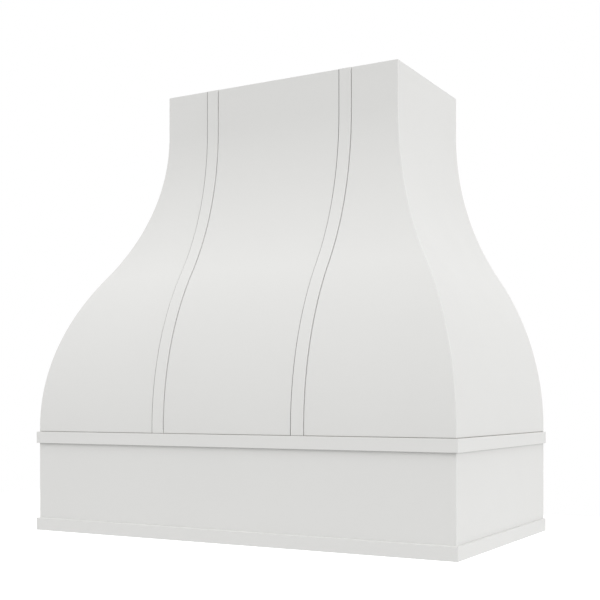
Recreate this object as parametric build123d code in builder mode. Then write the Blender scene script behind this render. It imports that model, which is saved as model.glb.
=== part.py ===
from build123d import *
import math
import os

# Wooden cover for a wall-mounted range hood: a bell-shaped body on a plain apron, open at the top,
# the back and the bottom. The front and both sides follow one curve and meet in upright mitres.
# Sizes are in millimetres. X runs to the right, -Y to the room, +Y to the wall and Z up. The origin
# is the middle of the footprint, level with the apron's underside.

# Outer form
body_width = 914.4
body_depth = 495.3
body_height = 914.4
apron_height = 203.2
# How far the front and the sides draw in between the apron and the top
setback = 190.5
# Upright stretches of the skins below and above the curve
foot_height = 9.5
neck_height = 82.55

# Outer boards
apron_thickness = 19.05
skin_thickness = 9.5
skin_foot_easing = 1.6
band_height = 23.5
base_trim_height = 25.4
trim_thickness = 4.8
trim_easing = 0.8

# Straps on the front, each let into a groove that is a little wider than the strap and stands it just proud
strap_width = 25.4
strap_thickness = 4.2
strap_spacing = 309.4
groove_depth = 3.2
groove_gap = 1.4

# Frame
rail_thickness = 19.05
top_rail_height = 63.5
wall_rail_height = 88.9
shelf_width = 63.5
rib_thickness = 18.0
rib_width = 50.0
corner_block_leg = 45.0

# Insert panel and the cleats above it
insert_recess = 38.1
insert_panel_thickness = 12.7
insert_panel_clearance = 1.5
cutout_side_border = 74.7
cutout_front_border = 93.75
cutout_corner_radius = 6.0
cleat_thickness = 19.05
cleat_height = 38.1
insert_hole_radius = 1.6
insert_hole_offset = 19.05

# Wall screw holes, at the spacing of house studs
stud_spacing = 406.4
wall_hole_radius = 3.5

# Countersunk wood screws
screw_radius = 2.0
screw_head_radius = 4.0
screw_head_angle = 82.0
drive_width = 2.6
drive_depth = 1.6
panel_screw_length = 28.0
cleat_screw_length = 32.0
rib_screw_length = 45.0
top_screw_length = 50.0
screw_end_margin = 60.0
panel_screw_count_across = 5
panel_screw_count_along = 3

# Clearances
glue_line = 0.15
screw_clearance = 0.1
countersink_margin = 0.3
# How far a cutting tool runs past the face that it opens
cut_margin = 1.0

# Places worked out from the sizes above
wall_y = (body_depth + trim_thickness) / 2
front_y = wall_y - body_depth
right_x = body_width / 2
left_x = -right_x
inner_half_width = right_x - apron_thickness
inner_front_y = front_y + apron_thickness
top_half_width = right_x - setback - skin_thickness
top_front_y = front_y + setback + skin_thickness
rib_head = body_height - top_rail_height
shelf_bottom = apron_height - rail_thickness
panel_top = insert_recess + insert_panel_thickness
cleat_top = panel_top + cleat_height
rib_gap = skin_thickness + glue_line

# The curve is two equal arcs, tangent to each other and to the upright stretches
curve_foot = apron_height + foot_height
curve_head = body_height - neck_height
arc_angle = 2 * math.degrees(math.atan2(setback, curve_head - curve_foot))
arc_radius = (curve_head - curve_foot) / 2 / math.sin(math.radians(arc_angle))

# Planes of the two front mitres, each facing the front panel
left_mitre = Plane(origin=(left_x, front_y, 0), z_dir=(1, -1, 0))
right_mitre = Plane(origin=(right_x, front_y, 0), z_dir=(-1, -1, 0))


def front_plane(x):
    """Upright plane across the front at x: its first axis runs from the apron's face to the wall."""
    return Plane(origin=(x, front_y, 0), x_dir=(0, 1, 0), z_dir=(1, 0, 0))


def side_plane(y):
    """Upright plane across the left side at y: its first axis runs from the apron's face inwards."""
    return Plane(origin=(left_x, y, 0), x_dir=(1, 0, 0), z_dir=(0, -1, 0))


def curve_strip(plane, outer_gap, inner_gap, foot, head, easing=0):
    """Strip between two lines parallel to the body's curve, each at its gap inside the outer face."""
    with BuildSketch(plane) as strip:
        with BuildLine():
            ends = []
            for gap in (outer_gap, inner_gap):
                lower = Line((gap, foot), (gap, curve_foot))
                bulge = JernArc(lower @ 1, (0, 1), arc_radius - gap, -arc_angle)
                hollow = JernArc(bulge @ 1, bulge % 1, arc_radius + gap, arc_angle)
                upper = Line(hollow @ 1, (gap + setback, head))
                ends.append((lower @ 0, upper @ 1))
            Line(ends[0][0], ends[1][0])
            Line(ends[0][1], ends[1][1])
        make_face()
        if easing:
            fillet(strip.vertices().group_by(Axis.Y)[0].sort_by(Axis.X)[0], easing)
    return strip.sketch


def upright_section(plane, outer_gap, inner_gap, foot, head, easing=0):
    """Section of an upright board or trim, with its two outer corners eased."""
    with BuildSketch(plane) as section:
        with Locations((outer_gap, foot)):
            Rectangle(inner_gap - outer_gap, head - foot, align=(Align.MIN, Align.MIN))
        if easing:
            fillet(section.vertices().group_by(Axis.X)[0], easing)
    return section.sketch


def board(x_range, y_range, z_range):
    """Square-edged board between two places along each axis."""
    width, depth, height = (high - low for low, high in (x_range, y_range, z_range))
    with BuildPart(Plane((x_range[0], y_range[0], z_range[0]))) as piece:
        Box(width, depth, height, align=(Align.MIN, Align.MIN, Align.MIN))
    return piece.part


def spread(first, last, count):
    """Places from first to last, evenly apart."""
    return [first + (last - first) * index / (count - 1) for index in range(count)]


def between(places):
    """Places halfway between neighbours."""
    return [(low + high) / 2 for low, high in zip(places, places[1:])]


def seat_below(x, y, z):
    """Seat of a screw that is driven upwards."""
    return Plane((x, y, z), z_dir=(0, 0, -1))


def drill(seats, length):
    """Countersunk holes in the piece being made, one at each seat, whose Z is where the head looks."""
    with Locations(*seats):
        CounterSinkHole(
            screw_radius + screw_clearance,
            screw_head_radius + countersink_margin,
            length + screw_clearance,
            screw_head_angle,
        )


def drill_wall_holes(height):
    """Two plain holes for the wall screws in the rail being made, at a height above the floor side."""
    with Locations(Plane((0, wall_y, height), x_dir=(1, 0, 0), z_dir=(0, 1, 0))):
        with GridLocations(stud_spacing, 0, 2, 1):
            Hole(wall_hole_radius, rail_thickness)


def screws(seats, length):
    """Wood screws at their seats, each with a flat head, a square drive and a pointed end."""
    slope = math.tan(math.radians(screw_head_angle / 2))
    head_top = (screw_clearance - countersink_margin) / slope
    head_bottom = head_top - (screw_head_radius - screw_radius) / slope
    with BuildPart() as screw:
        with BuildSketch(Plane.XZ):
            with BuildLine():
                Polyline(
                    (0, head_top),
                    (screw_head_radius, head_top),
                    (screw_radius, head_bottom),
                    (screw_radius, 3 * screw_radius - length),
                    (0, -length),
                    close=True,
                )
            make_face()
        revolve(axis=Axis.Z)
        with BuildSketch(Plane.XY.offset(head_top)):
            Rectangle(drive_width, drive_width)
        extrude(amount=-drive_depth, mode=Mode.SUBTRACT)
    with BuildPart() as group:
        with Locations(*seats):
            add(screw.part)
    return group


def save(piece, name):
    """Label a finished piece and write it."""
    piece.part.label = name
    export_step(piece.part, f"parts/{name}.step")


def save_pair(piece, name):
    """Write a left-hand piece and its mirror image on the right."""
    save(piece, f"left_{name}")
    with BuildPart() as right_hand:
        mirror(piece.part, about=Plane.YZ)
    save(right_hand, f"right_{name}")


os.makedirs("parts", exist_ok=True)

# Places of the ribs; the straps lie over two of them
strap_x = strap_spacing / 2
front_rib_x = {"left": -strap_x, "center": 0, "right": strap_x}
side_rib_y = (top_front_y + wall_y) / 2
rib_screw_place = apron_thickness + shelf_width / 2

# Screw seats
panel_screw_x = inner_half_width - cleat_thickness / 2
panel_row_end = inner_half_width - screw_end_margin
panel_row_x = spread(-panel_row_end, panel_row_end, panel_screw_count_across)
panel_row_y = spread(
    inner_front_y + cleat_thickness + screw_end_margin,
    wall_y - cleat_thickness - screw_end_margin,
    panel_screw_count_along,
)
panel_rows_across = [
    (x, y)
    for x in panel_row_x
    for y in (inner_front_y + cleat_thickness / 2, wall_y - cleat_thickness / 2)
]
panel_rows_along = [(x, y) for x in (-panel_screw_x, panel_screw_x) for y in panel_row_y]
panel_seats = [seat_below(x, y, insert_recess) for x, y in panel_rows_across + panel_rows_along]
cleat_middle_z = panel_top + cleat_height / 2
cleat_inner_y = inner_front_y + cleat_thickness
cleat_inner_x = inner_half_width - cleat_thickness
cleat_seats = [
    Plane((x, cleat_inner_y, cleat_middle_z), z_dir=(0, 1, 0)) for x in between(panel_row_x)
] + [
    Plane((side * cleat_inner_x, y, cleat_middle_z), z_dir=(-side, 0, 0))
    for side in (-1, 1)
    for y in between(panel_row_y)
]
front_rib_places = [(x, front_y + rib_screw_place) for x in front_rib_x.values()]
side_rib_places = [
    (side * (right_x - rib_screw_place), y)
    for side in (-1, 1)
    for y in (front_y + rib_screw_place, side_rib_y)
]
rib_seats = [seat_below(x, y, shelf_bottom) for x, y in front_rib_places + side_rib_places]
top_corner_x = top_half_width - rail_thickness / 2
top_seats = [
    Plane((x, y, z), z_dir=(0, facing, 0))
    for x in (-top_corner_x, top_corner_x)
    for y, facing in ((top_front_y, -1), (wall_y, 1))
    for z in (rib_head + top_rail_height / 4, body_height - top_rail_height / 4)
]

# Curved skins. The front one is drawn across the whole front, grooved for the straps and mitred
groove_width = strap_width + 2 * groove_gap
with BuildPart() as front_panel:
    skin = curve_strip(
        front_plane(left_x), 0, skin_thickness, apron_height, body_height, skin_foot_easing
    )
    extrude(to_extrude=skin, amount=body_width)
    for x in (-strap_x, strap_x):
        groove = curve_strip(
            front_plane(x - groove_width / 2), -cut_margin, groove_depth, apron_height, body_height
        )
        extrude(to_extrude=groove, amount=groove_width, mode=Mode.SUBTRACT)
    split(bisect_by=left_mitre)
    split(bisect_by=right_mitre)
save(front_panel, "front_panel")

with BuildPart() as side_panel:
    skin = curve_strip(
        side_plane(wall_y), 0, skin_thickness, apron_height, body_height, skin_foot_easing
    )
    extrude(to_extrude=skin, amount=body_depth)
    split(bisect_by=left_mitre, keep=Keep.BOTTOM)
save_pair(side_panel, "side_panel")

# Straps, bedded in their grooves on a line of glue
strap_bed = groove_depth - glue_line
for side, x in (("left", -strap_x), ("right", strap_x)):
    with BuildPart() as strap:
        strap_plane = front_plane(x - strap_width / 2)
        strap_face = strap_bed - strap_thickness
        lath = curve_strip(
            strap_plane, strap_face, strap_bed, apron_height, body_height, skin_foot_easing
        )
        extrude(to_extrude=lath, amount=strap_width)
    save(strap, f"{side}_strap")

# Apron boards, mitred at the front corners and drilled from inside for the cleats
with BuildPart() as front_apron:
    apron_section = upright_section(front_plane(left_x), 0, apron_thickness, 0, apron_height)
    extrude(to_extrude=apron_section, amount=body_width)
    split(bisect_by=left_mitre)
    split(bisect_by=right_mitre)
    drill(cleat_seats, cleat_screw_length)
save(front_apron, "front_apron")

with BuildPart() as side_apron:
    apron_section = upright_section(side_plane(wall_y), 0, apron_thickness, 0, apron_height)
    extrude(to_extrude=apron_section, amount=body_depth)
    split(bisect_by=left_mitre, keep=Keep.BOTTOM)
    drill(cleat_seats, cleat_screw_length)
save_pair(side_apron, "apron")

# Two rows of trim on the apron's faces, mitred in the same planes
for name, foot, head in (
    ("band", apron_height - band_height, apron_height),
    ("base_trim", 0, base_trim_height),
):
    with BuildPart() as front_trim:
        trim_plane = front_plane(left_x - trim_thickness)
        extrude(
            to_extrude=upright_section(trim_plane, -trim_thickness, 0, foot, head, trim_easing),
            amount=body_width + 2 * trim_thickness,
        )
        split(bisect_by=left_mitre)
        split(bisect_by=right_mitre)
    save(front_trim, f"front_{name}")
    with BuildPart() as side_trim:
        extrude(
            to_extrude=upright_section(side_plane(wall_y), -trim_thickness, 0, foot, head, trim_easing),
            amount=body_depth + trim_thickness,
        )
        split(bisect_by=left_mitre, keep=Keep.BOTTOM)
    save_pair(side_trim, name)

# Frame at the top. Its rear rail hangs the cover on the wall
top_span = (rib_head, body_height)
top_width = (-top_half_width, top_half_width)
top_sides_y = (top_front_y + rail_thickness, wall_y - rail_thickness)
with BuildPart() as front_top_rail:
    add(board(top_width, (top_front_y, top_front_y + rail_thickness), top_span))
    drill(top_seats, top_screw_length)
save(front_top_rail, "front_top_rail")

with BuildPart() as side_top_rail:
    add(board((-top_half_width, rail_thickness - top_half_width), top_sides_y, top_span))
    drill(top_seats, top_screw_length)
save_pair(side_top_rail, "top_rail")

with BuildPart() as hanging_rail:
    add(board(top_width, (wall_y - rail_thickness, wall_y), top_span))
    drill(top_seats, top_screw_length)
    drill_wall_holes(rib_head + top_rail_height / 2)
save(hanging_rail, "hanging_rail")

# Frame level with the top of the apron: three flat rails under the ribs, and an upright wall rail
shelf_span = (shelf_bottom, apron_height)
inner_width = (-inner_half_width, inner_half_width)
with BuildPart() as front_shelf_rail:
    add(board(inner_width, (inner_front_y, inner_front_y + shelf_width), shelf_span))
    drill(rib_seats, rib_screw_length)
save(front_shelf_rail, "front_shelf_rail")

with BuildPart() as side_shelf_rail:
    add(
        board(
            (-inner_half_width, shelf_width - inner_half_width),
            (inner_front_y + shelf_width, wall_y - rail_thickness),
            shelf_span,
        )
    )
    drill(rib_seats, rib_screw_length)
save_pair(side_shelf_rail, "shelf_rail")

with BuildPart() as lower_wall_rail:
    wall_rail_span = (apron_height - wall_rail_height, apron_height)
    add(board(inner_width, (wall_y - rail_thickness, wall_y), wall_rail_span))
    drill_wall_holes(apron_height - wall_rail_height / 2)
save(lower_wall_rail, "lower_wall_rail")

# Ribs cut to the curve. They stand on the shelf frame and reach up to the top frame
for side, x in front_rib_x.items():
    with BuildPart() as front_rib:
        rib_shape = curve_strip(
            front_plane(x - rib_thickness / 2), rib_gap, rib_gap + rib_width, apron_height, rib_head
        )
        extrude(to_extrude=rib_shape, amount=rib_thickness)
        drill(rib_seats, rib_screw_length)
    save(front_rib, f"{side}_front_rib")

for name, y in (("side_rib", side_rib_y + rib_thickness / 2), ("wall_rib", wall_y)):
    with BuildPart() as side_rib:
        rib_shape = curve_strip(side_plane(y), rib_gap, rib_gap + rib_width, apron_height, rib_head)
        extrude(to_extrude=rib_shape, amount=rib_thickness)
        drill(rib_seats, rib_screw_length)
    save_pair(side_rib, name)

# Hip ribs stand in the mitre's plane: an upright plate, bevelled where it meets both skins
hip_reach = math.hypot(1, 1) * (setback + rib_gap + rib_width)
with BuildPart() as hip_rib:
    with BuildSketch(Plane(origin=(left_x, front_y, apron_height), x_dir=(1, 1, 0))):
        Rectangle(hip_reach, rib_thickness, align=(Align.MIN, Align.CENTER))
    extrude(amount=rib_head - apron_height)
    for plane, run in ((front_plane(left_x), body_width / 2), (side_plane(wall_y), body_depth)):
        behind_skin = curve_strip(plane, rib_gap, rib_gap + rib_width, apron_height, rib_head)
        extrude(to_extrude=behind_skin, amount=run, mode=Mode.INTERSECT)
    drill(rib_seats, rib_screw_length)
save_pair(hip_rib, "hip_rib")

# Three-cornered glue blocks in the apron's front corners, between the cleats and the shelf frame
with BuildPart() as corner_block:
    with BuildSketch(Plane((-inner_half_width, inner_front_y, cleat_top))):
        Polygon((0, 0), (corner_block_leg, 0), (0, corner_block_leg), align=None)
    extrude(amount=shelf_bottom - cleat_top)
save_pair(corner_block, "corner_block")

# Cleats round the inside of the apron, and the insert panel that is screwed up against them
cleat_span = (panel_top, cleat_top)
side_cleat_y = (inner_front_y + cleat_thickness, wall_y - cleat_thickness)
with BuildPart() as front_insert_cleat:
    add(board(inner_width, (inner_front_y, inner_front_y + cleat_thickness), cleat_span))
    drill(cleat_seats, cleat_screw_length)
    drill(panel_seats, panel_screw_length)
save(front_insert_cleat, "front_insert_cleat")

with BuildPart() as rear_insert_cleat:
    add(board(inner_width, (wall_y - cleat_thickness, wall_y), cleat_span))
    drill(panel_seats, panel_screw_length)
save(rear_insert_cleat, "rear_insert_cleat")

with BuildPart() as side_insert_cleat:
    add(board((-inner_half_width, cleat_thickness - inner_half_width), side_cleat_y, cleat_span))
    drill(cleat_seats, cleat_screw_length)
    drill(panel_seats, panel_screw_length)
save_pair(side_insert_cleat, "insert_cleat")

insert_panel_width = 2 * (inner_half_width - insert_panel_clearance)
insert_panel_depth = wall_y - inner_front_y - 2 * insert_panel_clearance
insert_middle_y = (wall_y + inner_front_y) / 2
cutout_width = insert_panel_width - 2 * cutout_side_border
cutout_depth = insert_panel_depth - 2 * cutout_front_border
with BuildPart() as insert_panel:
    with BuildSketch(Plane((0, insert_middle_y, insert_recess))):
        Rectangle(insert_panel_width, insert_panel_depth)
        RectangleRounded(cutout_width, cutout_depth, cutout_corner_radius, mode=Mode.SUBTRACT)
        hole_span_x = cutout_width + 2 * insert_hole_offset
        hole_span_y = cutout_depth + 2 * insert_hole_offset
        with GridLocations(hole_span_x, hole_span_y, 2, 2):
            Circle(insert_hole_radius, mode=Mode.SUBTRACT)
    extrude(amount=insert_panel_thickness)
    drill(panel_seats, panel_screw_length)
save(insert_panel, "insert_panel")

# Wood screws
save(screws(panel_seats, panel_screw_length), "panel_screws")
save(screws(cleat_seats, cleat_screw_length), "cleat_screws")
save(screws(rib_seats, rib_screw_length), "rib_screws")
save(screws(top_seats, top_screw_length), "top_frame_screws")
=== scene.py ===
from math import pi, radians
from types import SimpleNamespace

import bpy
import numpy as np
from bpy.props import FloatProperty, FloatVectorProperty, PointerProperty
from bpy.types import NodeSocket, Operator, Panel, PropertyGroup, Scene
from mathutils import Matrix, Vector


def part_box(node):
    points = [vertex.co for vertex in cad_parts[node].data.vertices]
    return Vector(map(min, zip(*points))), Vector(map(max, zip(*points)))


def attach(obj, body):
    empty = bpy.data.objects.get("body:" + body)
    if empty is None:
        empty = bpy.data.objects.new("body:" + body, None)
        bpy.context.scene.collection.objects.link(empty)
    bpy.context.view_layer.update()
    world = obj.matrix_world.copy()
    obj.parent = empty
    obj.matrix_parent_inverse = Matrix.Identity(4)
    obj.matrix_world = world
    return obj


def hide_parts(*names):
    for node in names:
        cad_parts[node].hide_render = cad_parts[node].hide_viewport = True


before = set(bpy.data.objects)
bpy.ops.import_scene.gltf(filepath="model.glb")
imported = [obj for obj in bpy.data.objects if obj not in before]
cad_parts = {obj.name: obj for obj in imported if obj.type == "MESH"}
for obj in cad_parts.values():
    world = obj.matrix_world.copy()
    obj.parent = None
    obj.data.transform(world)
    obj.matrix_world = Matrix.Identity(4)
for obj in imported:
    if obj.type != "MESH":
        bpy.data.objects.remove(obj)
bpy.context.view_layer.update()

bl_info = {
    "name": "Wooden Range Hood Cover",
    "version": (1, 0, 0),
    "blender": (4, 5, 0),
    "location": "View3D > Sidebar > Hood Cover",
    "description": "Dresses the frame of a bell-shaped wooden range hood cover and lights it in a plain studio",
    "category": "Add Mesh",
}

# Corners of the boards whose sizes the property defaults come from
apron_low, apron_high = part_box("front_apron")
panel_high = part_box("front_panel")[1]
band_low, band_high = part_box("front_band")
base_trim_low, base_trim_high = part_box("front_base_trim")
side_apron_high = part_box("left_apron")[1]
strap_low, strap_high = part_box("right_strap")
rail_low, rail_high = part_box("front_top_rail")
rib_low, rib_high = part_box("center_front_rib")

# Sizes in metres that no user needs to change
SKIN_THICKNESS = 0.0095
BENDING_PLY = 0.0032
HEAD_EASING = 0.0005
HIDDEN_EASING = 0.0003
RIB_EASING = 0.0004
OVERSPRAY_REACH = 0.012

# Rows along the pieces, columns between two corners and points over a round
CURVE_ROWS = 170
RIB_ROWS = 120
BEAD_ROWS = 260
APRON_ROWS = 8
TRIM_ROWS = 4
FACE_COLUMNS = 6
ROUND_POINTS = 5

# How far from an end a flat face's last column lies, in radii of the end's round
BESIDE_ROUND = 2.5

# Each side of the body and the axis that its boards and their grain run along
SIDES = (("front", "x"), ("left", "y"), ("right", "y"))


def number(name, description, default, **kind):
    """A number that a user may change, with its unit or subtype and its limits."""
    return FloatProperty(name=name, description=description, default=default, **kind)


def length(name, description, default):
    """A size in metres that a user may change."""
    return number(name, description, default, min=0.0, unit="LENGTH", precision=5)


def finish_color(name, description, default):
    """A finish's colour, as scene-linear red, green and blue."""
    return FloatVectorProperty(
        name=name, description=description, default=default, size=3, min=0.0, max=1.0, subtype="COLOR"
    )


class HoodSizes(PropertyGroup):
    """Sizes of the cover's outer form and of what is dressed inside it."""

    body_width: length("Body Width", "Across the two side aprons", apron_high.x - apron_low.x)
    front_face: number("Front Face", "Where the front apron's face lies along Y", apron_low.y, unit="LENGTH")
    wall_face: number("Wall Face", "Where the wall lies along Y", side_apron_high.y, unit="LENGTH")
    body_height: length("Body Height", "Apron's underside to the top", panel_high.z)
    apron_height: length("Apron Height", "Height of the apron boards", apron_high.z)
    apron_thickness: length("Apron Thickness", "Thickness of the apron boards", apron_high.y - apron_low.y)
    band_height: length("Band Height", "Height of the band", band_high.z - band_low.z)
    base_trim_height: length("Base Trim Height", "Height of the base trim", base_trim_high.z - base_trim_low.z)
    trim_thickness: length("Trim Thickness", "How proud the flat trim stands", apron_low.y - band_low.y)
    setback: length(
        "Setback", "How far the skins draw in from the apron to the top", rail_low.y - apron_low.y - SKIN_THICKNESS
    )
    skin_thickness: length("Skin Thickness", "Thickness of the curved skins", SKIN_THICKNESS)
    foot_height: length("Foot Height", "Upright stretch of the skins below the curve", 0.0095)
    neck_height: length("Neck Height", "Upright stretch of the skins above the curve", 0.08255)
    skin_foot_easing: length("Skin Foot Easing", "Round at the foot of the skins", 0.0016)
    strap_width: length("Strap Width", "Width of a strap", strap_high.x - strap_low.x)
    strap_spacing: length("Strap Spacing", "Between the straps' middles", strap_high.x + strap_low.x)
    strap_rise: length("Strap Rise", "How proud of the front skin a strap stands", apron_low.y - strap_low.y)
    strap_thickness: length("Strap Thickness", "Thickness of a strap", 0.0042)
    strap_easing: length("Strap Easing", "Round along the straps' edges", 0.00045)
    groove_gap: length("Groove Gap", "Open gap on each side of a strap", 0.0014)
    groove_depth: length("Groove Depth", "Depth of the grooves for the straps", 0.0032)
    hip_easing: length("Hip Easing", "Round where two painted faces meet at a mitre", 0.0008)
    edge_easing: length("Edge Easing", "Round along the painted edges of trim and boards", 0.0006)
    rib_thickness: length("Rib Thickness", "Thickness of the ribs", rib_high.x - rib_low.x)
    rib_width: length("Rib Width", "Width of the ribs across the curve", 0.05)
    rib_head: length("Rib Head", "Height of the ribs' upper ends", rib_high.z)
    glue_line: length("Glue Line", "Thickness of the glue between a skin and its ribs", 0.00015)
    glue_bead: length("Glue Bead", "Usual leg of the dried glue beside a rib", 0.0022)
    ply_thickness: length("Ply Thickness", "Thickness of one ply in the birch plywood", 0.0014)


class HoodFinishes(PropertyGroup):
    """Colours and gloss of the cover's finishes."""

    paint: finish_color("Paint", "Satin white paint", (0.74, 0.74, 0.7285))
    paint_roughness: number(
        "Paint Roughness", "Roughness of the satin paint", 0.42, min=0.0, max=1.0, subtype="FACTOR"
    )
    poplar_light: finish_color("Poplar Light", "Pale wood of the poplar rails", (0.60, 0.455, 0.255))
    poplar_dark: finish_color("Poplar Dark", "Green-brown rings of the poplar rails", (0.37, 0.30, 0.145))
    birch_face: finish_color("Birch Face", "Face of the birch plywood", (0.66, 0.50, 0.31))
    birch_end: finish_color("Birch End", "End-grain plies of the birch plywood", (0.36, 0.235, 0.125))
    bending_face: finish_color("Bending Ply Face", "Inner face of the curved skins", (0.46, 0.29, 0.17))
    glue: finish_color("Glue", "Dried wood glue", (0.62, 0.40, 0.15))
    zinc: finish_color("Zinc", "Zinc-plated screws", (0.66, 0.665, 0.66))


class HoodStudio(PropertyGroup):
    """Camera, lamps and floor of the plain studio."""

    camera_place: FloatVectorProperty(
        name="Camera Place", description="Where the camera stands", default=(1.0922, -1.9043, 0.2616), size=3,
        subtype="TRANSLATION", unit="LENGTH",
    )
    camera_turn: number("Camera Turn", "How far it is turned to the left", radians(29.309), subtype="ANGLE")
    camera_lens: number("Camera Lens", "Focal length on a 36 mm sensor", 63.854, unit="CAMERA")
    camera_shift: number("Camera Shift", "Upward shift of the lens, as a share of the frame", 0.1722)
    floor_drop: length("Floor Drop", "How far below the hanging cover the floor lies", 0.9)
    high_light: number("High Light", "Strength of the light from high in front", 1.72, min=0.0)
    right_light: number("Right Light", "Strength of the light from the right", 1.21, min=0.0)
    left_light: number("Left Light", "Strength of the light from the left", 0.76, min=0.0)
    sky_light: number("Sky Light", "Strength of the light from all around", 0.4, min=0.0)


# The body's form


def body_form(sizes):
    """Places and the curve worked out from the sizes."""
    form = SimpleNamespace(front_y=sizes.front_face, wall_y=sizes.wall_face, right_x=sizes.body_width / 2)
    form.apron_height, form.foot_height = sizes.apron_height, sizes.foot_height
    curve_height = sizes.body_height - sizes.neck_height - sizes.apron_height - sizes.foot_height
    form.angle = 2 * np.arctan2(sizes.setback, curve_height)
    form.radius = curve_height / 2 / np.sin(form.angle)
    form.face_length = sizes.foot_height + 2 * form.radius * form.angle + sizes.neck_height
    form.rib_length = form.face_length - (sizes.body_height - sizes.rib_head)
    form.strap_x = sizes.strap_spacing / 2
    return form


def lean_inset_height(form, climb, depth):
    """Lean, inset and height of points that lie at a depth inside the body's face, at a climb along it.

    The face stands upright up to the foot height, bulges out along an arc, hollows along an equal arc the other way
    and stands upright again. With t1 and t2 the angles gone through on the two arcs, lean = t1 - t2,
    inset = R(1 - cos t1) + R(cos(a - t2) - cos a) + depth cos lean and
    height = climb on the upright stretches + R sin t1 + R(sin a - sin(a - t2)) - depth sin lean.
    A climb below 0 runs down the apron's face.
    """
    radius, angle = form.radius, form.angle
    first = np.clip((climb - form.foot_height) / radius, 0, angle)
    second = np.clip((climb - form.foot_height) / radius - angle, 0, angle)
    above = np.maximum(climb - form.foot_height - 2 * radius * angle, 0)
    lean = first - second
    inset = radius * (1 - np.cos(first)) + radius * (np.cos(angle - second) - np.cos(angle))
    height = form.apron_height + np.minimum(climb, form.foot_height) + above
    height = height + radius * (np.sin(first) + np.sin(angle) - np.sin(angle - second))
    return lean, inset + depth * np.cos(lean), height - depth * np.sin(lean)


def side_places(form, side, along, inset, height):
    """Points of one side: how far along it, how far inside its apron's face and how high they lie."""
    if side == "front":
        return np.stack([along, form.front_y + inset, height], -1)
    across = form.right_x - inset
    return np.stack([across if side == "right" else -across, along, height], -1)


def rib_places(form, sizes):
    """Name, side and middle of each rib that stands square to its skin."""
    side_y = (rail_low.y + form.wall_y) / 2
    wall_y = form.wall_y - sizes.rib_thickness / 2
    return (
        ("left_front", "front", -form.strap_x),
        ("center_front", "front", 0.0),
        ("right_front", "front", form.strap_x),
        ("left_side", "left", side_y),
        ("right_side", "right", side_y),
        ("left_wall", "left", wall_y),
        ("right_wall", "right", wall_y),
    )


def foot_shade(sizes, climb, cut):
    """Painted shade in the crevice on the band, over the round at the foot of a skin or strap: 0 to 1."""
    easing = sizes.skin_foot_easing
    return np.where(climb < easing, np.clip(1.4 * cut / easing, 0, 1), 0)


# Profiles and grids


def quarter_round(radius):
    """Distance from a corner and cut below the face, over a round of that radius, from its face to its edge.

    At an angle t, distance = r(1 - sin t) and cut = r(1 - cos t).
    """
    turn = np.linspace(0, pi / 2, ROUND_POINTS)
    return radius * (1 - np.sin(turn)), radius * (1 - np.cos(turn))


def board_section(low, high, outer, inner, low_easing, high_easing, rows, extra_rows=()):
    """Closed section of a board or skin as climbs and depths: its outer face upwards, then its inner face downwards.

    The outer corners are quarter rounds, each with a row beside it that keeps the flat face's shading flat. Extra rows
    lie at climbs of their own.
    """
    low_distance, low_cut = quarter_round(low_easing)
    high_distance, high_cut = quarter_round(high_easing)
    start, end = low + 2 * low_easing, high - 2 * high_easing
    face = np.sort(np.concatenate([np.linspace(start, end, rows), extra_rows]))
    climb = np.concatenate([low + low_distance[::-1], face, high - high_distance])
    cut = np.concatenate([low_cut[::-1], 0 * face, high_cut])
    return np.concatenate([climb, climb[::-1]]), np.concatenate([outer + cut, np.full(len(climb), inner)])


def columns(*parts):
    """Columns of a carried section, each with base, slope and cut: along = base + slope * inset, at least cut deep."""
    return SimpleNamespace(**{key: np.concatenate([part[key] for part in parts]) for key in ("base", "slope", "cut")})


def column_run(base, slope=0.0, cut=0.0):
    """Columns with the same slope and cut, or with one for each base."""
    base = np.atleast_1d(np.asarray(base, float))
    return {"base": base, "slope": np.broadcast_to(slope, base.shape), "cut": np.broadcast_to(cut, base.shape)}


def in_order(run, direction):
    """An end's columns, given from the face outwards, put in order from low to high."""
    return run if direction > 0 else {key: value[::-1] for key, value in run.items()}


def mitre_run(corner, direction, easing):
    """Columns at a mitred end, from the face to the mitre's plane, which the round meets halfway round.

    The mitre's plane is along = corner - direction * inset, with corner where two apron faces would meet.
    """
    turn = np.linspace(0, pi / 4, ROUND_POINTS)
    distance = np.concatenate([[BESIDE_ROUND * easing], easing * (1 - np.sin(turn))])
    cut = np.concatenate([[0], easing * (1 - np.cos(turn))])
    return in_order(column_run(corner - direction * (distance - cut), -direction, cut), direction)


def square_run(end, direction, easing):
    """Columns at a square end, over a quarter round to the end's face."""
    distance, cut = quarter_round(easing)
    distance, cut = np.concatenate([[BESIDE_ROUND * easing], distance]), np.concatenate([[0], cut])
    return in_order(column_run(end - direction * distance, 0, cut), direction)


def middle_run(first, last, count):
    """Columns spread between two others, which may themselves move with the inset."""
    share = np.linspace(0, 1, count + 2)[1:-1]
    mixed = {key: first[key][-1] * (1 - share) + last[key][0] * share for key in ("base", "slope")}
    return column_run(mixed["base"], mixed["slope"], 0.0)


def groove_run(middle, half_width, depth):
    """Columns over a square groove whose upper corners are slightly rounded, with one a little way down each wall.

    The two outermost columns keep the flat face beside the groove flat.
    """
    easing = HIDDEN_EASING
    offsets = np.array([4 * easing, easing, 0.3 * easing, 0, 0, 0])
    cuts = np.array([0, 0, 0.3 * easing, easing, 3 * easing, depth])
    left = middle - half_width - offsets
    right = middle + half_width + offsets[::-1]
    return column_run(np.concatenate([left, right]), 0.0, np.concatenate([cuts, cuts[::-1]]))


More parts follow.
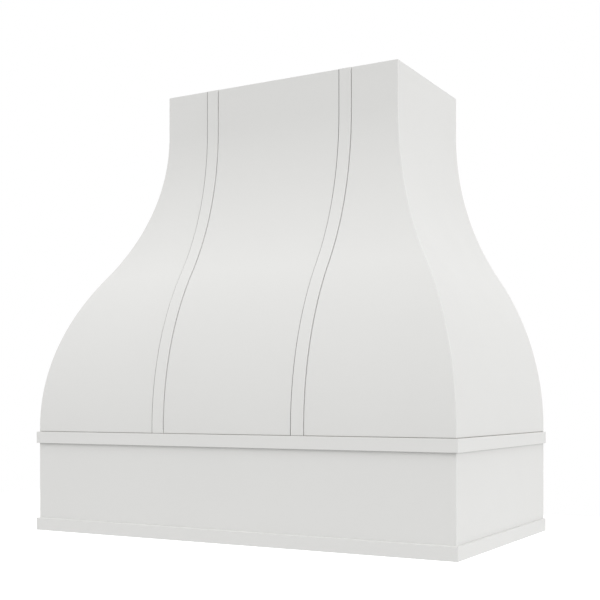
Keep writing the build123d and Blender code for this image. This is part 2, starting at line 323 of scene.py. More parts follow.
def whole_side(form, side, easing, grooves=(), groove_half_width=0.0, groove_depth=0.0):
    """Columns across one side of the body: the front from mitre to mitre, or a side from its mitre to the wall."""
    if side == "front":
        runs = [mitre_run(-form.right_x, -1, easing)]
        runs += [groove_run(middle, groove_half_width, groove_depth) for middle in grooves]
        runs += [mitre_run(form.right_x, 1, easing)]
    else:
        runs = [mitre_run(form.front_y, -1, easing), square_run(form.wall_y, 1, HIDDEN_EASING)]
    parts = [runs[0]]
    for run in runs[1:]:
        parts += [middle_run(parts[-1], run, FACE_COLUMNS), run]
    return columns(*parts)


def grid_faces(rows, count):
    """Four-sided faces of a grid whose rows of points close round on themselves."""
    index = np.arange(rows * count).reshape(rows, count)
    following = np.roll(index, -1, axis=0)
    return np.stack([index[:, :-1], index[:, 1:], following[:, 1:], following[:, :-1]], -1).reshape(-1, 4)


def end_faces(rows, count):
    """Faces that close both ends of such a grid, from each point to its partner across the thickness."""
    near = np.arange(rows // 2 - 1)
    far = rows - 1 - near
    first = np.stack([near, near + 1, far - 1, far], -1) * count
    return np.concatenate([first, first[:, ::-1] + count - 1])


def six_cornered_faces(count):
    """Faces of a six-cornered section carried through a count of places and closed at both ends."""
    cap = np.array([[0, 1, 2, 3], [0, 3, 4, 5]]) * count
    return np.concatenate([grid_faces(6, count), cap, cap[:, ::-1] + count - 1])


def carry(form, side, section, across):
    """Points of a section carried along a side, and each one's climb and its cut below the outer face.

    Each point's depth is its own in the section or the column's cut below the outer face, whichever is more, and
    along = base + slope * inset.
    """
    climb, depth = (values[:, None] for values in section)
    outer = depth.min()
    depth = np.maximum(depth, outer + across.cut)
    climb = climb + 0 * depth
    _, inset, height = lean_inset_height(form, climb, depth)
    along = across.base + across.slope * inset
    return side_places(form, side, along, inset, height), climb, depth - outer


def linked_object(name, data):
    """Object in the scene that shows a mesh, a lamp or a camera."""
    made = bpy.data.objects.new(name, data)
    bpy.context.scene.collection.objects.link(made)
    return made


def facing_outwards(places, faces):
    """Four-sided faces of a closed mesh, all turned round if the signed volume that they enclose is below zero."""
    first, second, third, fourth = (places[faces[:, corner]] for corner in range(4))
    volume = np.einsum("ij,ij->i", first, np.cross(second, third) + np.cross(third, fourth)).sum()
    return faces[:, ::-1] if volume < 0 else faces


def new_piece(name, places, faces, materials, replaced=(), face_materials=0, sharp=40, crevice=None):
    """Object in the row frame from points and four-sided faces, facing outwards, smooth but for its sharp edges.

    sharp is the angle in degrees past which an edge is sharp. crevice says for each point how much painted shade
    darkens the paint there, from 0 to 1.
    """
    places = np.asarray(places, float).reshape(-1, 3)
    faces = facing_outwards(places, faces)
    mesh = bpy.data.meshes.new(name)
    mesh.vertices.add(len(places))
    mesh.vertices.foreach_set("co", places.ravel())
    mesh.loops.add(faces.size)
    mesh.loops.foreach_set("vertex_index", faces.ravel())
    mesh.polygons.add(len(faces))
    mesh.polygons.foreach_set("loop_start", np.arange(len(faces)) * 4)
    mesh.polygons.foreach_set("material_index", np.broadcast_to(face_materials, len(faces)).astype(np.int32))
    mesh.update(calc_edges=True)
    if crevice is not None:
        # Painted shade for the paint to darken by, from 0 to 1 at each point
        mesh.attributes.new("crevice", "FLOAT", "POINT").data.foreach_set("value", crevice.ravel().astype(np.float32))
    mesh.shade_smooth()
    mesh.set_sharp_from_angle(angle=radians(sharp))
    for material in materials:
        mesh.materials.append(material)
    piece = linked_object(name, mesh)
    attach(piece, "root")
    if replaced:
        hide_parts(*replaced)
    return piece


def carried_piece(name, form, side, section, across, materials, replaced, sharp=40, crevice=None):
    """Piece whose section is carried along a side.

    Its materials are for the outer face, the inner face, the low edge and the ends, and the high edge. crevice is a
    function of the climb and of the cut below the outer face that gives the painted shade, and is left off the ends.
    """
    rows, count = len(section[0]), len(across.base)
    places, climb, cut = carry(form, side, section, across)
    faces = np.concatenate([grid_faces(rows, count), end_faces(rows, count)])
    row_material = np.full(rows, 1)
    row_material[: rows // 2 - 1] = 0
    row_material[[rows // 2 - 1, rows - 1]] = 3, 2
    face_materials = np.concatenate([np.repeat(row_material, count - 1), np.full(rows - 2, 2)])
    shade = None
    if crevice is not None:
        # Painted shade from the climb and the cut, kept off the end faces
        shade = np.array(crevice(climb, cut))
        shade[:, [0, -1]] = 0
    return new_piece(name, places, faces, materials, replaced, face_materials, sharp, shade)


# Materials


def add_node(tree, kind, sockets=None, **settings):
    """Shader node of a kind with its settings, whose input sockets get a value or a link.

    A socket's id_data is the node tree that it is in.
    """
    node = tree.nodes.new("ShaderNode" + kind)
    for key, value in settings.items():
        setattr(node, key, value)
    for key, value in (sockets or {}).items():
        if isinstance(value, NodeSocket):
            tree.links.new(value, node.inputs[key])
        else:
            node.inputs[key].default_value = value
    return node


def emptied_tree(owner):
    """Node tree of a material or a world, without nodes."""
    owner.use_nodes = True
    owner.node_tree.nodes.clear()
    return owner.node_tree


def new_material(name):
    """Node material with its surface shader, and the Object coordinates and normal that its nodes read."""
    material = bpy.data.materials.new(name)
    tree = emptied_tree(material)
    surface = add_node(tree, "BsdfPrincipled")
    add_node(tree, "OutputMaterial", {"Surface": surface.outputs["BSDF"]})
    read = add_node(tree, "TexCoord").outputs
    return SimpleNamespace(material=material, tree=tree, surface=surface, place=read["Object"], normal=read["Normal"])


def noise(place, scale, detail, roughness=0.5):
    """Soft noise from 0 to 1."""
    sockets = {"Vector": place, "Scale": scale, "Detail": detail, "Roughness": roughness}
    return add_node(place.id_data, "TexNoise", sockets).outputs["Fac"]


def streaks(along, scales, detail, roughness=0.5, pith=(0, 0, 0)):
    """Noise drawn out along X, with its scales along and across the grain, in coordinates centred on the pith."""
    lengthwise, across = scales
    place = mapped(along, location=pith, scale=(lengthwise, across, across))
    return noise(place, 1.0, detail, roughness)


def mapped(place, location=(0, 0, 0), rotation=(0, 0, 0), scale=(1, 1, 1)):
    """Coordinates moved, turned and stretched."""
    sockets = {"Vector": place, "Location": location, "Rotation": rotation, "Scale": scale}
    return add_node(place.id_data, "Mapping", sockets).outputs["Vector"]


def ranged(value, from_low, from_high, to_low, to_high, smooth=False):
    """Value carried from one range to another and held within it."""
    sockets = {0: value, 1: from_low, 2: from_high, 3: to_low, 4: to_high}
    kind = "SMOOTHSTEP" if smooth else "LINEAR"
    return add_node(value.id_data, "MapRange", sockets, interpolation_type=kind).outputs[0]


def worked(operation, first, second=0.0, third=0.0):
    """Arithmetic on one, two or three values."""
    return add_node(first.id_data, "Math", {0: first, 1: second, 2: third}, operation=operation).outputs[0]


def blended(share, first, second):
    """Two colours mixed by a share."""
    first, second = (color if isinstance(color, NodeSocket) else (*color, 1.0) for color in (first, second))
    return add_node(share.id_data, "Mix", {0: share, 6: first, 7: second}, data_type="RGBA").outputs[2]


def bumped(height, distance):
    """Normal roughened by a height from 0 to 1, over a distance in metres."""
    sockets = {"Height": height, "Distance": distance, "Strength": 1.0}
    return add_node(height.id_data, "Bump", sockets).outputs["Normal"]


def facing_along(normal, axis):
    """1 where a normal points along an axis and 0 where it lies across it."""
    split = add_node(normal.id_data, "SeparateXYZ", {0: normal})
    return ranged(worked("ABSOLUTE", split.outputs["xyz".index(axis)]), 0.6, 0.8, 0, 1)


def surfaced(made, color, roughness, normal, constants=None):
    """The material, once its shader reads colour, roughness and normal from nodes and holds the constants itself."""
    for key, value in (("Base Color", color), ("Roughness", roughness), ("Normal", normal)):
        made.tree.links.new(value, made.surface.inputs[key])
    for key, value in (constants or {}).items():
        made.surface.inputs[key].default_value = value
    return made.material


def scaled_color(color, factor):
    """Colour made lighter or darker."""
    return tuple(min(1.0, channel * factor) for channel in color)


# Turns that bring each axis onto X, where the grain patterns run
GRAIN_ALONG = {"x": (0, 0, 0), "y": (0, 0, -pi / 2), "z": (0, pi / 2, 0)}

# How strongly bare wood mirrors
WOOD_MIRROR = {"Specular IOR Level": 0.35}


def satin_paint(where, finishes, grain_along, nap):
    """White satin paint over wood: fine peel from the sprayer, the grain telegraphing faintly through, uneven gloss.

    nap is how strongly the brushed strokes along the grain show beside the sprayed peel. The crevice attribute holds
    painted shade: it darkens the paint's colour in grooves, creases and under the band, where shadow falls.
    """
    made = new_material(f"satin white paint on {where}")
    along = mapped(made.place, rotation=GRAIN_ALONG[grain_along])
    grain = streaks(along, (7, 420), detail=4.0, roughness=0.6)
    peel = noise(made.place, scale=620.0, detail=2.0)
    film = noise(made.place, scale=90.0, detail=2.0)
    drift = noise(made.place, scale=3.1, detail=2.0)
    patches = noise(made.place, scale=14.0, detail=3.0)
    height = worked("MULTIPLY_ADD", grain, nap, peel)
    height = worked("MULTIPLY_ADD", film, 2.0, height)
    tone = worked("MULTIPLY_ADD", grain, 0.25, drift)
    paint = finishes.paint
    shade = blended(ranged(tone, 0.35, 0.95, 0, 1), scaled_color(paint, 0.985), scaled_color(paint, 1.01))
    crevice = add_node(made.tree, "Attribute", attribute_name="crevice").outputs["Fac"]
    # Painted shade: the paint's colour darkens towards a tenth of itself where the crevice attribute is high
    shade = blended(crevice, shade, scaled_color(paint, 0.1))
    gloss = worked("MULTIPLY_ADD", film, 0.3, patches)
    smoothest, roughest = finishes.paint_roughness - 0.05, finishes.paint_roughness + 0.07
    roughness = ranged(gloss, 0.3, 1.0, smoothest, roughest)
    return surfaced(made, shade, roughness, bumped(height, distance=0.000009))


def overspray(made, bare, paint, edges):
    """Bare wood's colour with paint that drifted in over open edges, ragged and thinning out inwards.

    Each edge is an axis, where along it the paint is full and where it ends. Of several edges given together, the
    paint only lies where it reaches from all of them.
    """
    cover, raggedness = 0.92, 1.4
    split = add_node(made.tree, "SeparateXYZ", {0: made.place})
    ragged = noise(made.place, scale=120.0, detail=4.0, roughness=0.7)
    reach = None
    for together in edges:
        shared = None
        for axis, full, end in together:
            swing = raggedness * (full - end)
            shift = worked("MULTIPLY_ADD", ragged, swing, -swing / 2)
            near = worked("ADD", split.outputs["xyz".index(axis)], shift)
            near = ranged(near, end, full, 0, cover, True)
            shared = near if shared is None else worked("MULTIPLY", shared, near)
        reach = shared if reach is None else worked("MAXIMUM", reach, shared)
    return bare if reach is None else blended(reach, bare, paint)


def poplar(name, finishes, grain_along, pith, edges=()):
    """Bare poplar board: growth rings round a pith that runs beside the board, long fibres, darker end grain.

    pith is where the rings' middle runs, as a place in the coordinates turned so that the grain runs along X.
    """
    made = new_material(name)
    along = mapped(made.place, rotation=GRAIN_ALONG[grain_along])
    wander = streaks(along, (1.6, 9), detail=2.0, pith=pith)
    sideways = {1: worked("MULTIPLY", wander, 0.05), 2: worked("MULTIPLY", wander, 0.035)}
    shift = add_node(made.tree, "CombineXYZ", sideways).outputs[0]
    centred = mapped(along, location=pith)
    bent = add_node(made.tree, "VectorMath", {0: centred, 1: shift}, operation="ADD").outputs[0]
    rings = add_node(
        made.tree, "TexWave",
        {"Vector": bent, "Scale": 58.0, "Distortion": 1.2, "Detail": 2.0, "Detail Scale": 0.6},
        wave_type="RINGS", rings_direction="X", wave_profile="SAW",
    ).outputs["Fac"]
    fibre = streaks(along, (9, 620), detail=4.0, roughness=0.65, pith=pith)
    streak = streaks(along, (1.1, 34), detail=3.0, roughness=0.6, pith=pith)
    light, dark = finishes.poplar_light, finishes.poplar_dark
    middling = [0.45 * pale + 0.55 * deep for pale, deep in zip(light, dark)]
    wood = blended(ranged(streak, 0.38, 0.72, 0, 1, True), light, middling)
    wood = blended(worked("MULTIPLY", ranged(rings, 0.15, 1.0, 0, 1), 0.42), wood, dark)
    wood = blended(ranged(fibre, 0.3, 0.8, 0.0, 0.35), wood, scaled_color(dark, 0.72))
    end = facing_along(made.normal, grain_along)
    wood = blended(worked("MULTIPLY", end, 0.45), wood, scaled_color(dark, 0.6))
    color = overspray(made, wood, finishes.paint, edges)
    normal = bumped(worked("MULTIPLY_ADD", rings, 0.4, fibre), distance=0.00007)
    return surfaced(made, color, ranged(fibre, 0.2, 0.9, 0.55, 0.8), normal, WOOD_MIRROR)


def layered_ply(name, finishes, thickness_axis, face_color, end_color, ply_thickness, grain_along, edges=(), turn=0):
    """Plywood: veneer faces with long grain, and edges that show the plies, each second one as end grain.

    turn brings the sheet's thickness onto its axis. A wave of scale 1 repeats every pi / 10 metres, and two plies
    share one wave.
    """
    made = new_material(name)
    turned = mapped(made.place, rotation=(0, 0, turn))
    facing = facing_along(mapped(made.normal, rotation=(0, 0, turn)), thickness_axis)
    along = mapped(turned, rotation=GRAIN_ALONG[grain_along])
    fibre = streaks(along, (14, 760), detail=4.0, roughness=0.65)
    flame = streaks(along, (1.4, 22), detail=3.0, roughness=0.55)
    veneer = blended(ranged(flame, 0.3, 0.75, 0, 1, True), face_color, scaled_color(face_color, 0.84))
    veneer = blended(ranged(fibre, 0.35, 0.85, 0, 0.4), veneer, scaled_color(end_color, 0.95))
    scale = pi / 20 / ply_thickness
    plies = add_node(
        made.tree, "TexWave",
        {"Vector": turned, "Scale": scale, "Distortion": 0.15, "Detail": 1.0, "Detail Scale": 4.0},
        wave_type="BANDS", bands_direction=thickness_axis.upper(), wave_profile="SIN",
    ).outputs["Fac"]
    pores = noise(turned, scale=1500.0, detail=2.0)
    across = blended(ranged(pores, 0.3, 0.7, 0, 1), end_color, scaled_color(end_color, 0.7))
    edge = blended(ranged(plies, 0.42, 0.58, 0, 1, True), across, scaled_color(face_color, 0.93))
    seam = worked("ABSOLUTE", worked("SUBTRACT", plies, 0.5))
    edge = blended(ranged(seam, 0.0, 0.12, 0.6, 0, True), edge, scaled_color(end_color, 0.35))
    color = overspray(made, blended(facing, edge, veneer), finishes.paint, edges)
    normal = bumped(worked("MULTIPLY_ADD", plies, 0.6, fibre), distance=0.00006)
    return surfaced(made, color, ranged(fibre, 0.2, 0.9, 0.5, 0.75), normal, WOOD_MIRROR)


def dried_glue(name, finishes):
    """Dried yellow wood glue: amber, glossy and a little cloudy."""
    made = new_material(name)
    cloud = noise(made.place, scale=160.0, detail=3.0)
    color = blended(ranged(cloud, 0.3, 0.7, 0, 1), finishes.glue, scaled_color(finishes.glue, 0.7))
    normal = bumped(noise(made.place, scale=420.0, detail=2.0), distance=0.0001)
    return surfaced(made, color, ranged(cloud, 0.3, 0.7, 0.22, 0.4), normal)


def plated_zinc(name, finishes):
    """Bright zinc plating: pale metal with a faint blue and straw cast, scuffed where the driver turned."""
    made = new_material(name)
    cast = noise(made.place, scale=260.0, detail=3.0)
    scuff = noise(mapped(made.place, scale=(900, 2600, 900)), scale=1.0, detail=3.0, roughness=0.7)
    red, green, blue = finishes.zinc
    straw_cast, blue_cast = (red, green * 0.94, blue * 0.8), (red * 0.88, green * 0.95, blue)
    color = blended(ranged(cast, 0.35, 0.65, 0, 1), blue_cast, straw_cast)
    roughness = ranged(scuff, 0.25, 0.8, 0.24, 0.5)
    return surfaced(made, color, roughness, bumped(scuff, distance=0.00003), {"Metallic": 1.0})


def finish_nodes(names, material):
    """Gives carried-over CAD nodes their finish."""
    for name in names:
        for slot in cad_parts[name].material_slots:
            slot.material = material


# Operators


class HoodOperator:
    """What the cover's operators have in common. Each builds its share of the scene from the scene's settings."""

    bl_options = {"REGISTER", "UNDO"}

    def execute(self, context):
        self.scene = context.scene
        self.sizes, self.finishes = self.scene.hood_sizes, self.scene.hood_finishes
        self.form = body_form(self.sizes)
        self.build()
        return {"FINISHED"}


class HOOD_OT_add_skins(HoodOperator, Operator):
    """Curved front and side skins, meeting in eased mitres at the hips, with grooves for the straps"""

    bl_idname = "hood.add_skins"
    bl_label = "Add Curved Skins"

    def build(self):
        form, sizes, finishes = self.form, self.sizes, self.finishes
        foot, head = sizes.skin_foot_easing, HEAD_EASING
        section = board_section(0, form.face_length, 0, sizes.skin_thickness, foot, head, CURVE_ROWS)
        grooves = (-form.strap_x, form.strap_x)
        half_width = sizes.strap_width / 2 + sizes.groove_gap
        face, end = finishes.bending_face, scaled_color(finishes.birch_end, 0.9)
        top, wall = sizes.body_height, form.wall_y
        open_edges = [(("z", top, top - OVERSPRAY_REACH),), (("y", wall, wall - 0.014),)]
        for side, axis in SIDES:
            node, across_sheet = ("front_panel", "y") if side == "front" else (f"{side}_side_panel", "x")
            paint = satin_paint(f"{side} skin", finishes, axis, nap=0.3)
            veneer = layered_ply(
                f"bending plywood of {side} skin", finishes, across_sheet, face, end, BENDING_PLY, axis, open_edges
            )
            ends = satin_paint(f"edges of {side} skin", finishes, axis, nap=1.2)
            carried_piece(
                f"{side}_skin", form, side, section,
                whole_side(form, side, sizes.hip_easing, grooves, half_width, sizes.groove_depth),
                [paint, veneer, ends, ends], [node], crevice=self.crevice,
            )

    def crevice(self, climb, cut):
        """How much painted shade a point gets: over the foot's round, and down the grooves' left walls, where shadow
        falls.

        The painted shade is left off the grooves' right walls, and on the left walls it falls with the lean where the
        skin leans back. The walls count as deeper than the rounds at the hips are cut.
        """
        form, sizes = self.form, self.sizes
        deepest_round, onset, lean_fading = 0.3 * sizes.hip_easing, 0.00006, 0.9
        lean = lean_inset_height(form, climb, 0)[0] / form.angle
        wall = np.clip((cut - deepest_round) / onset, 0, 1) * (np.gradient(cut, axis=1) > 0)
        # Painted shade: strongest over the foot's round and on the grooves' left walls, weaker where the skin leans
        # back
        return np.maximum(foot_shade(sizes, climb, cut) ** 0.75, wall * (1 - lean_fading * lean))


class HOOD_OT_add_straps(HoodOperator, Operator):
    """Flat straps that follow the front's curve in their grooves"""

    bl_idname = "hood.add_straps"
    bl_label = "Add Straps"

    def build(self):
        form, sizes = self.form, self.sizes
        paint = satin_paint("straps", self.finishes, "z", nap=0.6)
        face, bed = -sizes.strap_rise, sizes.strap_thickness - sizes.strap_rise
        section = board_section(0, form.face_length, face, bed, sizes.skin_foot_easing, HEAD_EASING, CURVE_ROWS)
        for name, middle in (("left", -form.strap_x), ("right", form.strap_x)):
            low = square_run(middle - sizes.strap_width / 2, -1, sizes.strap_easing)
            high = square_run(middle + sizes.strap_width / 2, 1, sizes.strap_easing)
            carried_piece(
                f"{name}_strap_cover", form, "front", section, columns(low, middle_run(low, high, 1), high),
                [paint] * 4, [f"{name}_strap"],
                # Painted shade at the strap's foot, in the crevice on the band
                crevice=lambda climb, cut: foot_shade(sizes, climb, cut),
            )


class HOOD_OT_add_aprons(HoodOperator, Operator):
    """Upright apron boards, painted outside and mitred at the front corners"""

    bl_idname = "hood.add_aprons"
    bl_label = "Add Aprons"

    def build(self):
        form, sizes, finishes = self.form, self.sizes, self.finishes
        # Rows just under the band, closer together where the painted shade under it is deepest
        millimetres_below_band = np.array([-0.2, 0, 0.3, 0.7, 1.2, 2.0, 3.5, 5.5])
        extra_rows = -sizes.band_height - millimetres_below_band / 1000
        low, inner, easing = -sizes.apron_height, sizes.apron_thickness, sizes.edge_easing
        section = board_section(low, 0, 0, inner, easing, HIDDEN_EASING, APRON_ROWS, extra_rows)
        open_edges = [(("z", 0.0, 0.016),), (("y", form.wall_y, form.wall_y - OVERSPRAY_REACH),)]
        for side, axis in SIDES:
            paint = satin_paint(f"{side} apron", finishes, axis, nap=0.5)
            bare = poplar(f"poplar of {side} apron", finishes, axis, (0.3, 0.11, -0.06), open_edges)
            carried_piece(
                f"{side}_apron_board", form, side, section, whole_side(form, side, sizes.hip_easing),
                [paint, bare, paint, bare], [f"{side}_apron"], crevice=self.crevice,
            )

    def crevice(self, climb, cut):
        """How much painted shade a point of the outer face gets in the corner under the band, from 0 to 1, fading out
        downwards.
        """
        deepest, fading = 0.67, 0.0012
        above_corner = np.minimum(climb + self.sizes.band_height, 0)
        # Painted shade under the band, on the outer face only
        return np.where(cut < self.sizes.apron_thickness / 2, deepest * np.exp(above_corner / fading), 0)


class HOOD_OT_add_trim(HoodOperator, Operator):
    """Flat band round the apron's top and flat trim round its foot"""

    bl_idname = "hood.add_trim"
    bl_label = "Add Band and Base Trim"

    def build(self):
        form, sizes, easing = self.form, self.sizes, self.sizes.edge_easing
        strips = (
            ("band", -sizes.band_height, 0),
            ("base_trim", -sizes.apron_height, sizes.base_trim_height - sizes.apron_height),
        )
        for side, axis in SIDES:
            paint = satin_paint(f"{side} trim", self.finishes, axis, nap=0.8)
            across = whole_side(form, side, sizes.hip_easing)
            for kind, low, high in strips:
                section = board_section(low, high, -sizes.trim_thickness, 0, easing, easing, TRIM_ROWS)
                name, node = f"{side}_{kind}_strip", f"{side}_{kind}"
                carried_piece(name, form, side, section, across, [paint] * 4, [node])


class HOOD_OT_add_ribs(HoodOperator, Operator):
    """Plywood ribs cut to the curve, behind the skins and in both hips"""

    bl_idname = "hood.add_ribs"
    bl_label = "Add Ribs"

    def build(self):
        form, sizes, finishes = self.form, self.sizes, self.finishes
        near = sizes.skin_thickness + sizes.glue_line
        far = near + sizes.rib_width

        def ply(name, axis, turn=0):
            face, end = finishes.birch_face, finishes.birch_end
            return layered_ply(name, finishes, axis, face, end, sizes.ply_thickness, "z", turn=turn)

        across_x = ply("birch plywood across", "x")
        across_y = ply("birch plywood endways", "y")
        section = board_section(0, form.rib_length, near, far, RIB_EASING, RIB_EASING, RIB_ROWS)
        thickness = sizes.rib_thickness * np.linspace(-0.5, 0.5, 3)
        for name, side, middle in rib_places(form, sizes):
            materials = [across_x if side == "front" else across_y] * 4
            across = columns(column_run(middle + thickness))
            plate, node = f"{name}_rib_plate", f"{name}_rib"
            carried_piece(plate, form, side, section, across, materials, [node], sharp=30)
        for side, sign in (("left", -1), ("right", 1)):
            self.hip_rib(side, sign, ply(f"birch plywood of {side} hip", "x", sign * pi / 4))

    def hip_rib(self, side, sign, material):
        """Upright plate in the mitre's plane, bevelled to both skins.

        At each height its outline in plan is the square between the two parallel curves at the rib's faces, kept to
        |a - b| <= thickness / sqrt 2, with a and b the insets from the side's and the front's faces.
        """
        form, sizes = self.form, self.sizes
        heights = np.linspace(sizes.apron_height, sizes.rib_head, RIB_ROWS)
        overrun, samples = 0.1, 4000
        climb = np.linspace(-overrun, form.face_length + overrun, samples)
        near = sizes.skin_thickness + sizes.glue_line
        insets = []
        for depth in (near, near + sizes.rib_width):
            _, inset, height = lean_inset_height(form, climb, depth)
            insets.append(np.interp(heights, height, inset))
        near, far = insets
        step = sizes.rib_thickness / np.sqrt(2)
        from_side = np.stack([near, near + step, far, far, far - step, near])
        from_front = np.stack([near, near, far - step, far, far, near + step])
        across, along = sign * (form.right_x - from_side), form.front_y + from_front
        places = np.stack([across, along, heights + 0 * from_side], -1)
        faces = six_cornered_faces(RIB_ROWS)
        new_piece(f"{side}_hip_rib_plate", places, faces, [material], [f"{side}_hip_rib"], sharp=30)


class HOOD_OT_add_glue_beads(HoodOperator, Operator):
    """Dried glue squeezed out beside the ribs, in runs of uneven size"""

    bl_idname = "hood.add_glue_beads"
    bl_label = "Add Glue Beads"

    def build(self):
        all_places, all_faces, start = [], [], 0
        for count, (side, edge, sign) in enumerate(self.runs()):
            places = self.bead(side, edge, sign, count).reshape(-1, 3)
            all_places.append(places)
            all_faces.append(facing_outwards(places, six_cornered_faces(BEAD_ROWS)) + start)
            start += len(places)
        places, faces = np.concatenate(all_places), np.concatenate(all_faces)
        glue = dried_glue("dried wood glue", self.finishes)
        new_piece("rib_glue_beads", places, faces, [glue], sharp=60)

    def runs(self):
        """Side, edge and direction of each run: on both faces of a rib, or on the near face of one at the wall."""
        half = self.sizes.rib_thickness / 2
        return [
            (side, middle + sign * half, sign)
            for name, side, middle in sorted(rib_places(self.form, self.sizes), key=lambda rib: rib[1])
            for sign in ((-1,) if name.endswith("wall") else (-1, 1))
        ]

    def bead(self, side, edge, sign, count):
        """Points of one run, a hollow-faced fillet whose leg swells and shrinks along the rib.

        The leg is the usual size times 0.25 + 0.9 s^2, with s = 0.5 plus three sines of the climb whose phases come
        from the count of runs before it, and it tapers to both ends. The hollow face is a blend of a quarter circle
        and an even run, and the sixth corner lies hidden in the joint.
        """
        form, sizes = self.form, self.sizes
        margin, tapering = 0.004, 0.006
        climb = np.linspace(margin, form.rib_length - margin, BEAD_ROWS)
        golden_angle = 2.399
        phase = count * golden_angle
        swell = 0.5 + 0.2 * np.sin(climb * 47 + phase) + 0.17 * np.sin(climb * 113 + 2.7 * phase)
        swell = swell + 0.13 * np.sin(climb * 269 + 1.3 * phase)
        taper = np.clip(np.minimum(climb - climb[0], climb[-1] - climb) / tapering, 0.05, 1)
        leg = sizes.glue_bead * (0.25 + 0.9 * swell**2) * taper
        turn = np.linspace(0, pi / 2, ROUND_POINTS)
        share = turn / (pi / 2)
        bow = 0.72
        out = np.concatenate([[-0.05], 1 - bow * np.sin(turn) - (1 - bow) * share])
        rise = np.concatenate([[-0.03], 1 - bow * np.cos(turn) - (1 - bow) * (1 - share)])
        depth = sizes.skin_thickness + leg * rise[:, None]
        along = edge + sign * leg * out[:, None]
        _, inset, height = lean_inset_height(form, climb + 0 * depth, depth)
        return side_places(form, side, along, inset, height)


class HOOD_OT_finish_frame(HoodOperator, Operator):
    """Bare poplar, birch plywood and zinc for the frame's boards, the insert panel and the screws"""

    bl_idname = "hood.finish_frame"
    bl_label = "Finish Frame Boards and Screws"

    # Poplar boards by the axis that their grain runs along
    boards = {
        "x": (
            "front_top_rail", "hanging_rail", "front_shelf_rail", "lower_wall_rail", "front_insert_cleat",
            "rear_insert_cleat",
        ),
        "y": [f"{side}_{kind}" for kind in ("top_rail", "shelf_rail", "insert_cleat") for side in ("left", "right")],
        "z": ("left_corner_block", "right_corner_block"),
    }

    def build(self):
        sizes, finishes = self.sizes, self.finishes
        boards = [(axis, name) for axis, names in self.boards.items() for name in names]
        edges = self.sprayed_edges()
        for count, (axis, name) in enumerate(boards, 1):
            # Each board is sawn from another place in its log
            pith = (0.37 * count, 0.05 + 0.021 * (count * 5 % 7), 0.04 + 0.017 * (count * 3 % 5))
            title = f"poplar of {name.replace('_', ' ')}"
            finish_nodes([name], poplar(title, finishes, axis, pith, edges.get(name, ())))
        title, face, end = "birch plywood of insert panel", finishes.birch_face, finishes.birch_end
        finish_nodes(["insert_panel"], layered_ply(title, finishes, "z", face, end, sizes.ply_thickness, "x"))
        zinc = plated_zinc("zinc plating", finishes)
        finish_nodes(["panel_screws", "cleat_screws", "rib_screws", "top_frame_screws"], zinc)

    def sprayed_edges(self):
        """Where paint has drifted onto the top rails: along their upper outer edges."""
        top = ("z", self.sizes.body_height, self.sizes.body_height - 0.004)
        outer, front = rail_high.x, rail_low.y
        left = (top, ("x", -outer, OVERSPRAY_REACH - outer))
        right = (top, ("x", outer, outer - OVERSPRAY_REACH))
        return {
            "front_top_rail": [(top, ("y", front, front + OVERSPRAY_REACH))],
            "left_top_rail": [left],
            "right_top_rail": [right],
            "hanging_rail": [left, right],
        }


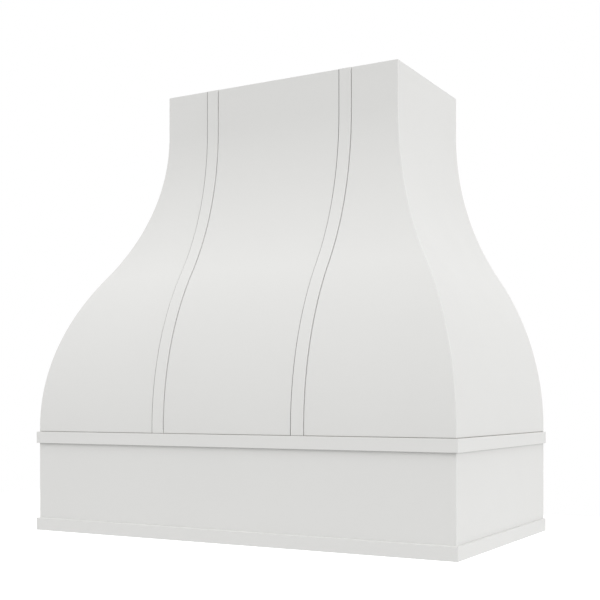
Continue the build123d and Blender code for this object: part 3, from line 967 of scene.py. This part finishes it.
class HOOD_OT_set_studio(HoodOperator, Operator):
    """Plain pale floor, soft lamps, white surroundings and the camera"""

    bl_idname = "hood.set_studio"
    bl_label = "Set Studio"

    # Each lamp's strength and name, and in degrees its azimuth to the right of the front and its elevation
    lamps = (
        ("high_light", "light from high in front", 20, 60),
        ("right_light", "light from the right", 90, 3),
        ("left_light", "light from the left", -90, 30),
    )
    lamp_spread = 60  # degrees
    floor_reach = 9.0  # metres from the middle to each edge
    floor_shade = (0.82, 0.82, 0.82, 1.0)
    floor_shine = 0.5  # strength of its own shine, where it is seen

    def build(self):
        scene, studio = self.scene, self.scene.hood_studio
        scene.view_settings.view_transform = "Standard"
        self.floor(studio.floor_drop)
        self.surroundings(studio.sky_light)
        for key, name, azimuth, elevation in self.lamps:
            self.soft_light(name, azimuth, elevation, getattr(studio, key))
        lens = bpy.data.cameras.new("studio camera")
        lens.lens = studio.camera_lens
        lens.sensor_width = 36.0
        lens.shift_y = studio.camera_shift
        camera = linked_object("studio camera", lens)
        camera.location = studio.camera_place
        camera.rotation_euler = (pi / 2, 0.0, studio.camera_turn)
        scene.camera = camera

    def floor(self, drop):
        """Level square below the cover. It shows white but for the shadow on it, and shows nothing from below."""
        reach = self.floor_reach
        corners = [(-reach, -reach, -drop), (reach, -reach, -drop), (reach, reach, -drop), (-reach, reach, -drop)]
        mesh = bpy.data.meshes.new("studio_floor")
        mesh.from_pydata(corners, [], [(0, 1, 2, 3)])
        floor = linked_object("studio_floor", mesh)
        material = bpy.data.materials.new("white studio floor")
        tree = emptied_tree(material)
        matt = add_node(tree, "BsdfDiffuse", {"Color": self.floor_shade}).outputs[0]
        shine = add_node(tree, "Emission", {"Strength": self.floor_shine}).outputs[0]
        lit = add_node(tree, "AddShader", {0: matt, 1: shine}).outputs[0]
        shown = self.mixed(self.seen_directly(tree), matt, lit)
        clear = add_node(tree, "BsdfTransparent").outputs[0]
        back = add_node(tree, "NewGeometry").outputs["Backfacing"]
        add_node(tree, "OutputMaterial", {"Surface": self.mixed(back, shown, clear)})
        mesh.materials.append(material)

    def mixed(self, share, first, second):
        """Two shaders mixed by a share."""
        return add_node(share.id_data, "MixShader", {0: share, 1: first, 2: second}).outputs[0]

    def seen_directly(self, tree):
        """1 for what the camera sees directly, in a mirror or through glass, and 0 for light on the cover."""
        path = add_node(tree, "LightPath").outputs
        seen = worked("MAXIMUM", path["Is Camera Ray"], path["Is Glossy Ray"])
        return worked("MAXIMUM", seen, path["Is Transmission Ray"])

    def surroundings(self, strength):
        """White all round where it is seen, and a soft even light where it lights."""
        self.scene.world = bpy.data.worlds.new("studio surroundings")
        tree = emptied_tree(self.scene.world)
        light = add_node(tree, "Background", {"Color": (1.0, 0.995, 0.985, 1.0), "Strength": strength}).outputs[0]
        white = add_node(tree, "Background", {"Color": (1.0, 1.0, 1.0, 1.0), "Strength": 1.0}).outputs[0]
        add_node(tree, "OutputWorld", {"Surface": self.mixed(self.seen_directly(tree), light, white)})

    def soft_light(self, name, azimuth, elevation, strength):
        """Wide, even light from an azimuth to the right of the front and an elevation, in degrees.

        Surfaces are lit by it but mirror only the white surroundings, so that a face seen at a grazing angle keeps
        its shade.
        """
        lamp = bpy.data.lights.new(name, "SUN")
        lamp.energy = strength
        lamp.angle = radians(self.lamp_spread)
        light = linked_object(name, lamp)
        light.rotation_euler = (radians(90 - elevation), 0.0, radians(azimuth))
        light.visible_glossy = False


OPERATORS = (
    HOOD_OT_add_skins,
    HOOD_OT_add_straps,
    HOOD_OT_add_aprons,
    HOOD_OT_add_trim,
    HOOD_OT_add_ribs,
    HOOD_OT_add_glue_beads,
    HOOD_OT_finish_frame,
    HOOD_OT_set_studio,
)


class HOOD_PT_cover(Panel):
    """Sizes, finishes and steps of the hood cover"""

    bl_idname = "HOOD_PT_cover"
    bl_label = "Range Hood Cover"
    bl_space_type = "VIEW_3D"
    bl_region_type = "UI"
    bl_category = "Hood Cover"

    def draw(self, context):
        layout = self.layout
        for group in (context.scene.hood_sizes, context.scene.hood_finishes, context.scene.hood_studio):
            box = layout.box()
            for key in group.__annotations__:
                box.prop(group, key)
        for operator in OPERATORS:
            layout.operator(operator.bl_idname)


GROUPS = {"hood_sizes": HoodSizes, "hood_finishes": HoodFinishes, "hood_studio": HoodStudio}
CLASSES = (*GROUPS.values(), *OPERATORS, HOOD_PT_cover)


def register():
    for made in CLASSES:
        bpy.utils.register_class(made)
    for key, group in GROUPS.items():
        setattr(Scene, key, PointerProperty(type=group))


def unregister():
    for key in GROUPS:
        delattr(Scene, key)
    for made in reversed(CLASSES):
        bpy.utils.unregister_class(made)


def main():
    register()
    for operator in OPERATORS:
        category, name = operator.bl_idname.split(".")
        getattr(getattr(bpy.ops, category), name)()


if __name__ == "__main__":
    main()
